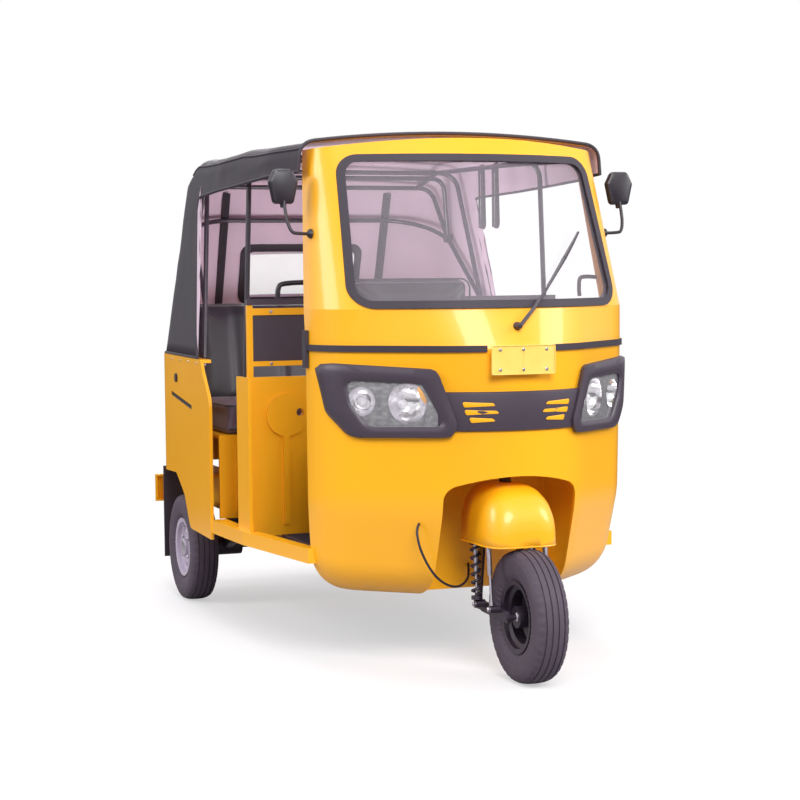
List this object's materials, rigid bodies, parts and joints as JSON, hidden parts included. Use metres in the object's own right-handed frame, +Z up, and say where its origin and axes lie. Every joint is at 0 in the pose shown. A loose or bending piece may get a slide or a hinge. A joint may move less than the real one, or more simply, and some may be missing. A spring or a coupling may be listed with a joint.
{
  "type": "auto rickshaw",
  "caption": "Three-wheeled passenger auto rickshaw with an open-sided cab, soft hood, steered front wheel on a fork, sprung rear wheels and a rear engine lid.",
  "frame": {"origin": "on the floor at the middle of the vehicle's length and width", "axes": "+Z up, the front faces -Y, the vehicle's right side faces -X"},
  "size_m": [1.2984, 2.6449, 1.74],
  "materials": {
    "yellow_paint": "gloss",
    "black_plastic": "satin",
    "grey_plastic": "grained",
    "rubber": "matt",
    "hood_vinyl": "woven vinyl",
    "black_steel": "satin",
    "tyre": "matt",
    "bright_steel": "satin",
    "clear_glass": "clear",
    "lamp_chrome": "mirror",
    "lamp_glass": "clear",
    "plate_paint": "satin",
    "seat_vinyl": "vinyl",
    "cast_metal": "rough",
    "red_lens": "gloss",
    "clear_vinyl": "clear",
    "rim_paint": "satin"
  },
  "bodies": {
    "body": {"front_cowl": "yellow_paint", "windscreen_frame": "yellow_paint", "windscreen_seal": "rubber", "windscreen_glass": "clear_glass", "belt_moulding": "rubber", "headlamp_bezels": "grey_plastic", "headlamp_reflectors": "lamp_chrome", "headlamp_lenses": "lamp_glass", "front_grille": "grey_plastic", "number_plate": "plate_paint", "dashboard": "grey_plastic", "wiper": "black_plastic", "mirrors": "black_plastic", "floor_pan": "black_steel", "side_sills": "yellow_paint", "partition_panels": "yellow_paint", "partition_rails": "yellow_paint", "partition_screen": "grey_plastic", "driver_seat_base": "black_steel", "driver_seat_pads": "seat_vinyl", "seat_box": "yellow_paint", "passenger_cushion": "seat_vinyl", "passenger_backrest": "seat_vinyl", "rear_tub": "yellow_paint", "side_trims": "black_plastic", "engine_block": "cast_metal", "rear_suspension": "black_steel", "rear_bumper": "yellow_paint", "tail_lamps": "red_lens", "mud_flaps": "rubber", "hood_frame": "black_steel", "hood_canopy": "hood_vinyl", "rear_window": "clear_vinyl", "brake_cable": "rubber"},
    "steering": {"steering_fork": "black_steel", "front_springs": "bright_steel", "handlebar": "black_steel", "front_mudguard": "yellow_paint"},
    "front_wheel": {"front_tyre": "tyre", "front_rim": "black_steel"},
    "rear_wheel_left": {"rear_left_tyre": "tyre", "rear_left_rim": "rim_paint"},
    "rear_wheel_right": {"rear_right_tyre": "tyre", "rear_right_rim": "rim_paint"},
    "engine_lid": {"engine_door": "yellow_paint"}
  },
  "joints": [
    {"name": "steer", "type": "hinge", "parent": "body", "child": "steering", "pos_m": [0, -1.03, 0.42], "axis": [0, 0.4067, 0.9135], "range_deg": [-38, 38]},
    {"name": "front_wheel_spin", "type": "hinge", "parent": "steering", "child": "front_wheel", "pos_m": [0, -1.115, 0.2075], "axis": [1, 0, 0], "continuous": true},
    {"name": "rear_left_spin", "type": "hinge", "parent": "body", "child": "rear_wheel_left", "pos_m": [0.55, 0.87, 0.2075], "axis": [1, 0, 0], "continuous": true},
    {"name": "rear_right_spin", "type": "hinge", "parent": "body", "child": "rear_wheel_right", "pos_m": [-0.55, 0.87, 0.2075], "axis": [1, 0, 0], "continuous": true},
    {"name": "engine_lid_hinge", "type": "hinge", "parent": "body", "child": "engine_lid", "pos_m": [0, 1.302, 0.866], "axis": [1, 0, 0], "range_deg": [0, 70]}
  ]
}
